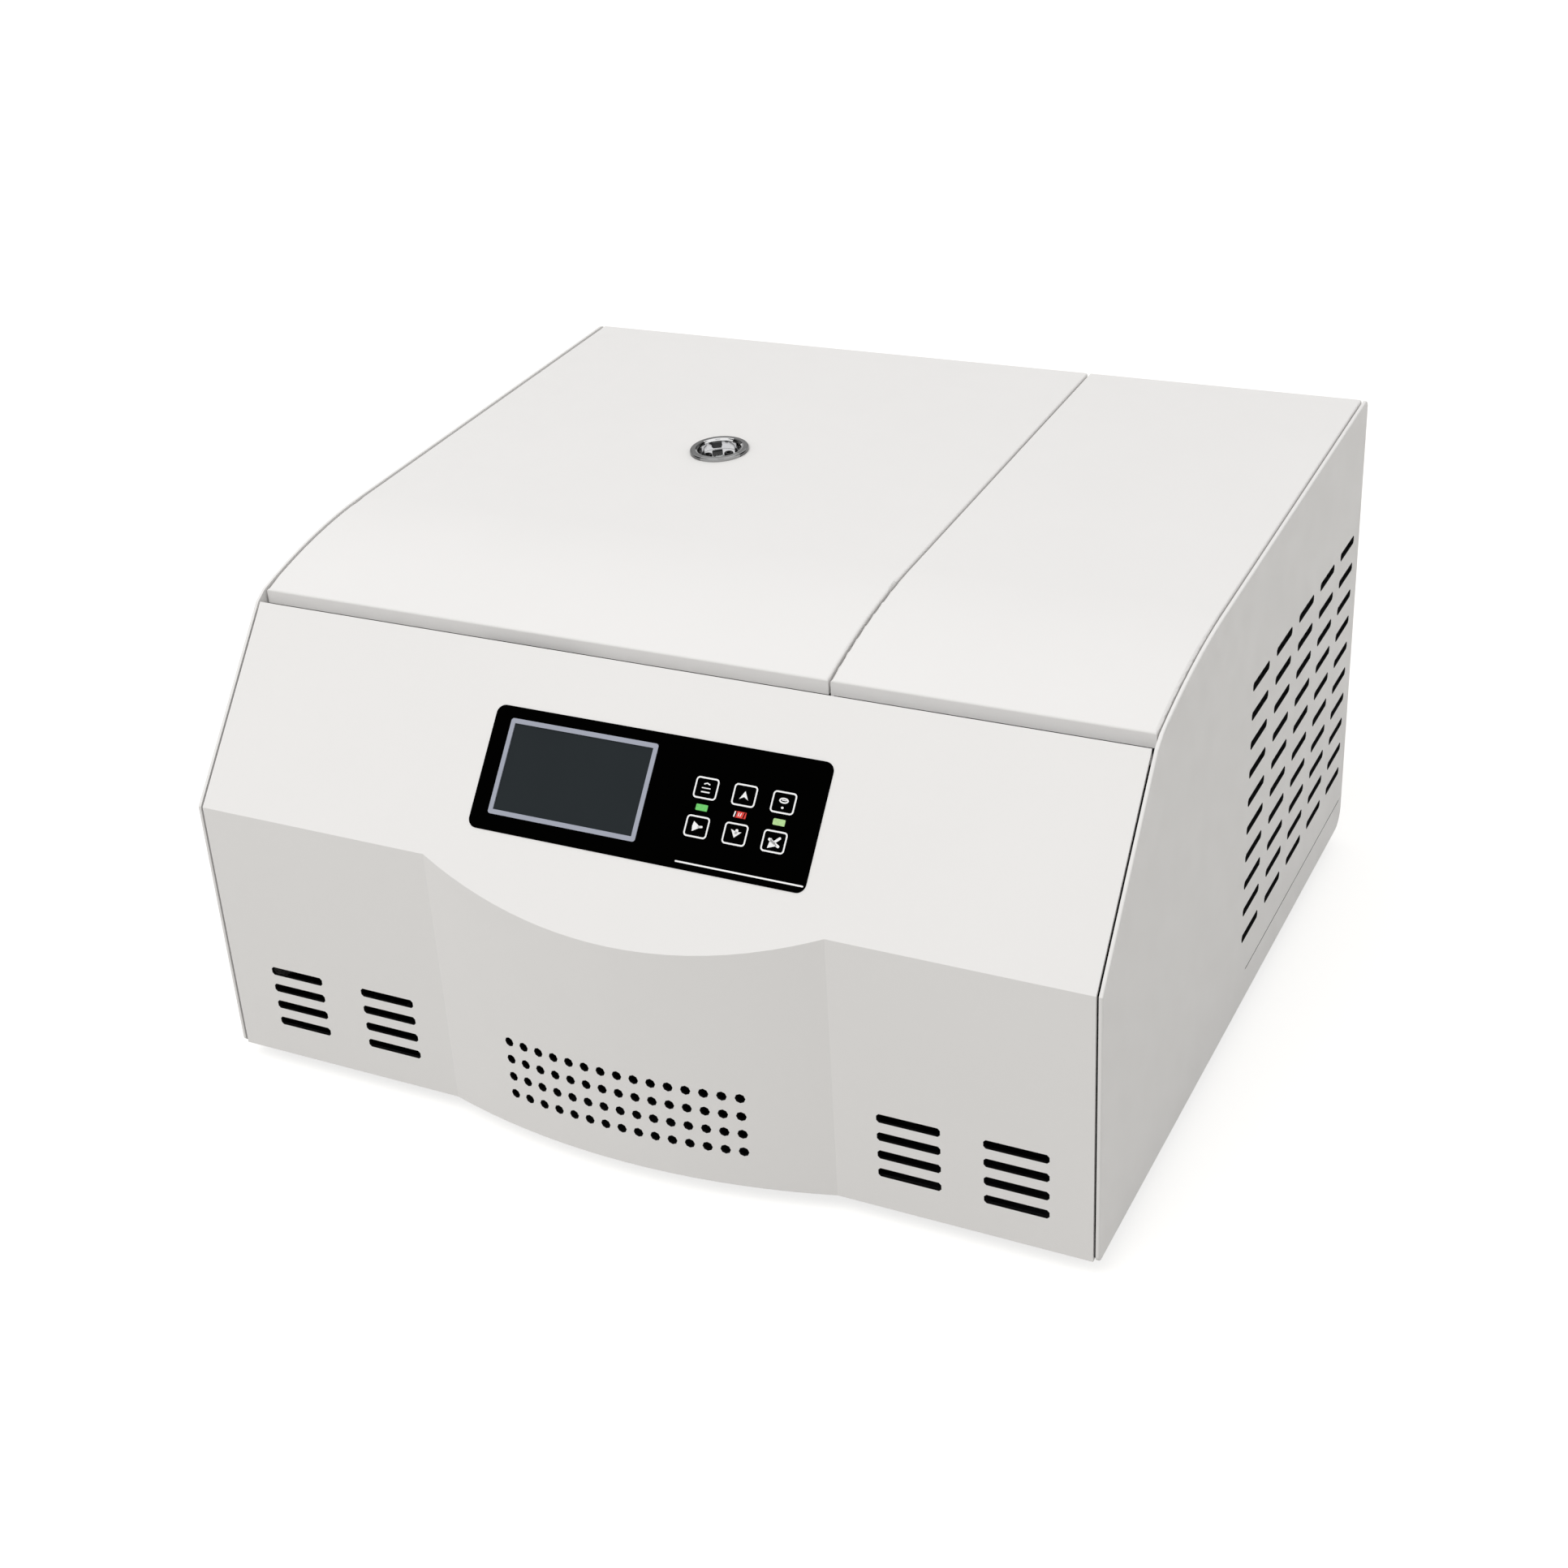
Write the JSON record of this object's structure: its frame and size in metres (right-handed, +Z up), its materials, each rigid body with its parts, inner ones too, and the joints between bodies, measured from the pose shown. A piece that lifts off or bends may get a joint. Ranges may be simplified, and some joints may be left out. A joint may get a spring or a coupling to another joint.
{
  "type": "microplate centrifuge",
  "caption": "Refrigerated bench centrifuge with a bowed front, sloped key panel, hinged lid with sight window and a swing-out rotor that carries microplates",
  "frame": {"origin": "under the middle of the machine, on the surface its feet stand on", "axes": "+X to the user's right along the front, +Y from the front to the back, +Z up"},
  "size_m": [0.62, 0.58, 0.3524],
  "materials": {
    "painted_steel": "satin powder coat",
    "painted_tray": "satin powder coat",
    "zinc_steel": "zinc plated",
    "stainless": "brushed",
    "chrome": "polished",
    "rotor_metal": "anodised",
    "aluminium": "bare",
    "copper": "bare",
    "cast_black": "gloss enamel",
    "motor_grey": "satin",
    "rubber": "matt",
    "silicone": "matt",
    "foam": "matt",
    "black_plastic": "fine texture",
    "panel_black": "gloss",
    "frame_grey": "satin",
    "screen": "gloss",
    "lamp": "gloss",
    "circuit": "satin",
    "glass": "clear"
  },
  "bodies": {
    "housing": {"base_tray": "painted_tray", "rubber_feet": "rubber", "front_panel": "painted_steel", "right_side_panel": "painted_steel", "left_side_panel": "painted_steel", "rear_panel": "painted_steel", "fixed_cover": "painted_steel", "hinge_brackets": "zinc_steel", "hinge_rod": "chrome", "deck_plate": "stainless", "cover_rail": "zinc_steel", "partition_wall": "zinc_steel", "chamber_bowl": "stainless", "chamber_gasket": "silicone", "evaporator_jacket": "copper", "chamber_insulation": "foam", "rubber_mounts": "rubber", "motor_plate": "zinc_steel", "motor": "motor_grey", "shaft_boot": "rubber", "lock_housing": "zinc_steel", "lock_solenoid": "motor_grey", "compressor": "cast_black", "condenser": "aluminium", "fan_shroud": "black_plastic", "fan_motor": "motor_grey", "filter_drier": "copper", "refrigerant_pipes": "copper", "keypad_panel": "panel_black", "screen_frame": "frame_grey", "screen_glass": "screen", "screen_module": "circuit", "status_lamps": "lamp", "control_board": "circuit", "motor_drive": "aluminium", "transformer": "motor_grey", "power_inlet": "black_plastic", "switch_frame": "black_plastic", "lock_bezel": "black_plastic"},
    "lid": {"lid_shell": "painted_steel", "lid_liner": "stainless", "window_ring": "chrome", "sight_glass": "glass", "hinge_leaves": "zinc_steel", "lid_striker": "zinc_steel"},
    "rotor": {"drive_shaft": "chrome", "rotor_yoke": "rotor_metal", "trunnion_pins": "chrome", "rotor_nut": "aluminium"},
    "left_carrier": {"carrier_left": "rotor_metal"},
    "right_carrier": {"carrier_right": "rotor_metal"},
    "latch": {"lock_latch": "zinc_steel"},
    "fan": {"fan_wheel": "black_plastic"},
    "rocker": {"switch_rocker": "black_plastic"},
    "key_menu_cap": {"key_menu": "panel_black"},
    "key_up_cap": {"key_up": "panel_black"},
    "key_lid_cap": {"key_lid": "panel_black"},
    "key_start_cap": {"key_start": "panel_black"},
    "key_down_cap": {"key_down": "panel_black"},
    "key_stop_cap": {"key_stop": "panel_black"}
  },
  "joints": [
    {"name": "lid_hinge", "type": "hinge", "parent": "housing", "child": "lid", "pos_m": [-0.09778, 0.2765, 0.34122], "axis": [-1, 0, 0], "range_deg": [0, 75]},
    {"name": "rotor_spin", "type": "hinge", "parent": "housing", "child": "rotor", "pos_m": [-0.09778, 0.08425, 0.2375], "axis": [0, 0, 1], "continuous": true},
    {"name": "left_carrier_swing", "type": "hinge", "parent": "rotor", "child": "left_carrier", "pos_m": [-0.17777, 0.08425, 0.2375], "axis": [0, 1, 0], "range_deg": [0, 90]},
    {"name": "right_carrier_swing", "type": "hinge", "parent": "rotor", "child": "right_carrier", "pos_m": [-0.01777, 0.08425, 0.2375], "axis": [0, -1, 0], "range_deg": [0, 90]},
    {"name": "latch_turn", "type": "hinge", "parent": "housing", "child": "latch", "pos_m": [-0.09778, -0.15608, 0.2585], "axis": [1, 0, 0], "range_deg": [-42, 0], "stiffness_Nm_per_rad": 0.05},
    {"name": "fan_spin", "type": "hinge", "parent": "housing", "child": "fan", "pos_m": [0.2506, 0.144, 0.134], "axis": [1, 0, 0], "continuous": true},
    {"name": "rocker_tilt", "type": "hinge", "parent": "housing", "child": "rocker", "pos_m": [0.2486, 0.281, 0.062], "axis": [1, 0, 0], "range_deg": [0, 16]},
    {"name": "key_menu_press", "type": "slide", "parent": "housing", "child": "key_menu_cap", "axis": [0, 0.7705, -0.6374], "range_m": [0, 0.0005], "stiffness_N_per_m": 1500},
    {"name": "key_up_press", "type": "slide", "parent": "housing", "child": "key_up_cap", "axis": [0, 0.7705, -0.6374], "range_m": [0, 0.0005], "stiffness_N_per_m": 1500},
    {"name": "key_lid_press", "type": "slide", "parent": "housing", "child": "key_lid_cap", "axis": [0, 0.7705, -0.6374], "range_m": [0, 0.0005], "stiffness_N_per_m": 1500},
    {"name": "key_start_press", "type": "slide", "parent": "housing", "child": "key_start_cap", "axis": [0, 0.7705, -0.6374], "range_m": [0, 0.0005], "stiffness_N_per_m": 1500},
    {"name": "key_down_press", "type": "slide", "parent": "housing", "child": "key_down_cap", "axis": [0, 0.7705, -0.6374], "range_m": [0, 0.0005], "stiffness_N_per_m": 1500},
    {"name": "key_stop_press", "type": "slide", "parent": "housing", "child": "key_stop_cap", "axis": [0, 0.7705, -0.6374], "range_m": [0, 0.0005], "stiffness_N_per_m": 1500}
  ]
}
